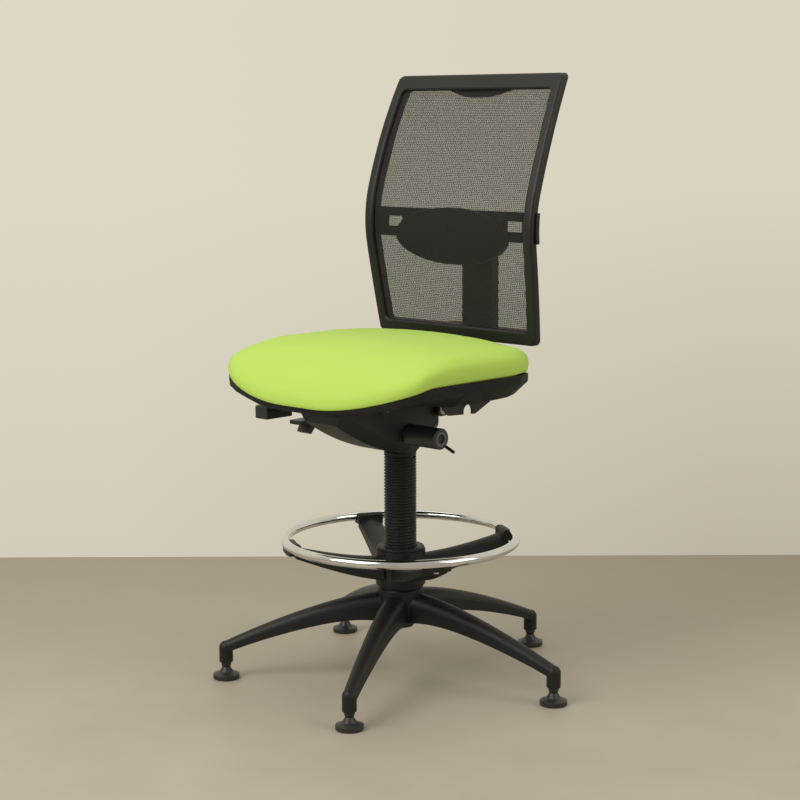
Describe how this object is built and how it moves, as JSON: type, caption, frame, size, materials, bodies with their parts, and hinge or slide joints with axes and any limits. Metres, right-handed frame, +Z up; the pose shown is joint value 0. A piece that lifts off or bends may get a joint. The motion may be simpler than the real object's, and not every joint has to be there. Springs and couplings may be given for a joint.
{
  "type": "drafting chair",
  "caption": "Armless drafting chair: padded seat, mesh back with lumbar support, tilt mechanism, gas column, screw-set chrome foot ring and star base on glides",
  "frame": {"origin": "on the floor under the column's axis", "axes": "+Z up, the chair faces -Y, +X is the sitter's left"},
  "size_m": [0.674, 0.6694, 1.13],
  "materials": {
    "base_plastic": "fine grained black moulding",
    "glide_plastic": "hard black glide",
    "frame_plastic": "satin black moulding",
    "shell_plastic": "grained black shell",
    "handle_plastic": "satin black handles",
    "bush_plastic": "dark bearing plastic",
    "ring_grey": "pale grey ring",
    "seat_fabric": "lime green woven cover",
    "back_fabric": "black open mesh",
    "board_wood": "moulded plywood",
    "chrome": "polished chrome",
    "black_steel": "black powder coat",
    "cast_black": "black coated casting",
    "bright_steel": "zinc plated steel",
    "rubber": "black rubber"
  },
  "bodies": {
    "base": {"star_base": "base_plastic", "glides": "glide_plastic", "glide_stems": "bright_steel", "stand_tube": "black_steel", "column_sleeve": "base_plastic", "guide_bush": "bush_plastic", "bearing_lower_race": "bright_steel", "bearing_balls": "bright_steel"},
    "rod": {"piston_rod": "bright_steel", "piston": "bright_steel", "bearing_upper_race": "bright_steel", "rod_buffer": "rubber", "rod_clip": "bright_steel"},
    "lift": {"gas_cylinder": "black_steel", "rod_gland": "rubber", "valve_body": "bright_steel", "mech_housing": "cast_black", "main_pivot_pin": "bright_steel", "front_pivot_pin": "bright_steel", "pivot_clips": "bright_steel", "spring_bush": "bush_plastic", "tilt_spring": "bright_steel", "lever_pin": "bright_steel"},
    "release": {"release_pin": "bright_steel"},
    "height_handle": {"height_lever": "black_steel", "lever_handle": "handle_plastic"},
    "knob": {"tension_knob": "handle_plastic", "knob_ring": "ring_grey", "tension_shaft": "bright_steel"},
    "nut": {"tension_nut": "bright_steel"},
    "lock": {"lock_lever": "black_steel"},
    "back_arm": {"back_yoke": "black_steel", "upright_bar": "black_steel", "link_pin": "bright_steel", "yoke_bolts": "bright_steel"},
    "carrier": {"seat_carrier": "black_steel", "slide_rail_left": "bright_steel", "slide_rail_right": "bright_steel"},
    "seat": {"seat_cushion": "seat_fabric", "seat_board": "board_wood", "seat_shell": "shell_plastic", "slide_runner_left": "bush_plastic", "slide_runner_right": "bush_plastic", "seat_screws": "bright_steel", "arm_bracket_left": "black_steel", "arm_bracket_right": "black_steel", "depth_pin": "bright_steel"},
    "depth_handle": {"depth_lever": "handle_plastic"},
    "backrest": {"back_frame": "frame_plastic", "back_mesh": "back_fabric", "back_sleeve": "frame_plastic", "back_screws": "bright_steel"},
    "lumbar": {"lumbar_band": "frame_plastic", "lumbar_pad": "frame_plastic"},
    "ring_nut": {"thread_insert": "base_plastic", "lock_collar": "base_plastic"},
    "ring": {"foot_ring": "chrome", "ring_spider": "base_plastic", "ring_screws": "bright_steel"}
  },
  "joints": [
    {"name": "seat_swivel", "type": "hinge", "parent": "base", "child": "rod", "pos_m": [0, 0, 0.3], "axis": [0, 0, 1], "continuous": true},
    {"name": "seat_height", "type": "slide", "parent": "rod", "child": "lift", "axis": [0, 0, 1], "range_m": [0, 0.21]},
    {"name": "height_lever_lift", "type": "hinge", "parent": "lift", "child": "height_handle", "pos_m": [-0.044, 0, 0.5021], "axis": [0, 1, 0], "range_deg": [0, 7], "stiffness_Nm_per_rad": 2, "springref_deg": -8.59},
    {"name": "release_press", "type": "slide", "parent": "lift", "child": "release", "axis": [0, 0, 1], "range_m": [-0.0057, 0]},
    {"name": "tension_turn", "type": "hinge", "parent": "lift", "child": "knob", "pos_m": [0.1, -0.038, 0.477], "axis": [1, 0, 0], "range_deg": [0, 1800]},
    {"name": "tension_travel", "type": "slide", "parent": "lift", "child": "nut", "axis": [-1, 0, 0], "range_m": [0, 0.0101]},
    {"name": "lock_turn", "type": "hinge", "parent": "lift", "child": "lock", "pos_m": [0.08, -0.005, 0.462], "axis": [1, 0, 0], "range_deg": [-20, 20]},
    {"name": "recline", "type": "hinge", "parent": "lift", "child": "back_arm", "pos_m": [0, 0.04, 0.515], "axis": [-1, 0, 0], "range_deg": [0, 18], "stiffness_Nm_per_rad": 60, "springref_deg": -22.92},
    {"name": "seat_tilt", "type": "hinge", "parent": "lift", "child": "carrier", "pos_m": [0, -0.105, 0.535], "axis": [-1, 0, 0], "range_deg": [0, 7.6]},
    {"name": "seat_depth", "type": "slide", "parent": "carrier", "child": "seat", "axis": [0, -1, 0], "range_m": [0, 0.05]},
    {"name": "depth_lever_lift", "type": "hinge", "parent": "seat", "child": "depth_handle", "pos_m": [-0.12, -0.13, 0.536], "axis": [0, 1, 0], "range_deg": [0, 10], "stiffness_Nm_per_rad": 0.6, "springref_deg": -17.19},
    {"name": "back_height", "type": "slide", "parent": "back_arm", "child": "backrest", "axis": [0, 0, 1], "range_m": [0, 0.06]},
    {"name": "lumbar_swing", "type": "hinge", "parent": "backrest", "child": "lumbar", "pos_m": [0, 0.375, 0.845], "axis": [-1, 0, 0], "range_deg": [-4.5, 6.5]},
    {"name": "ring_lift", "type": "slide", "parent": "base", "child": "ring_nut", "axis": [0, 0, 1], "range_m": [0, 0.1325]},
    {"name": "ring_turn", "type": "hinge", "parent": "ring_nut", "child": "ring", "pos_m": [0, 0, 0.22], "axis": [0, 0, 1], "range_deg": [0, 7920]}
  ],
  "couplings": [
    {"joint": "release_press", "follows": "height_lever_lift", "m_per_rad": -0.0455},
    {"joint": "tension_travel", "follows": "tension_turn", "m_per_rad": 0.00031831},
    {"joint": "seat_tilt", "follows": "recline", "ratio": 0.42},
    {"joint": "ring_lift", "follows": "ring_turn", "m_per_rad": 0.00095493}
  ]
}
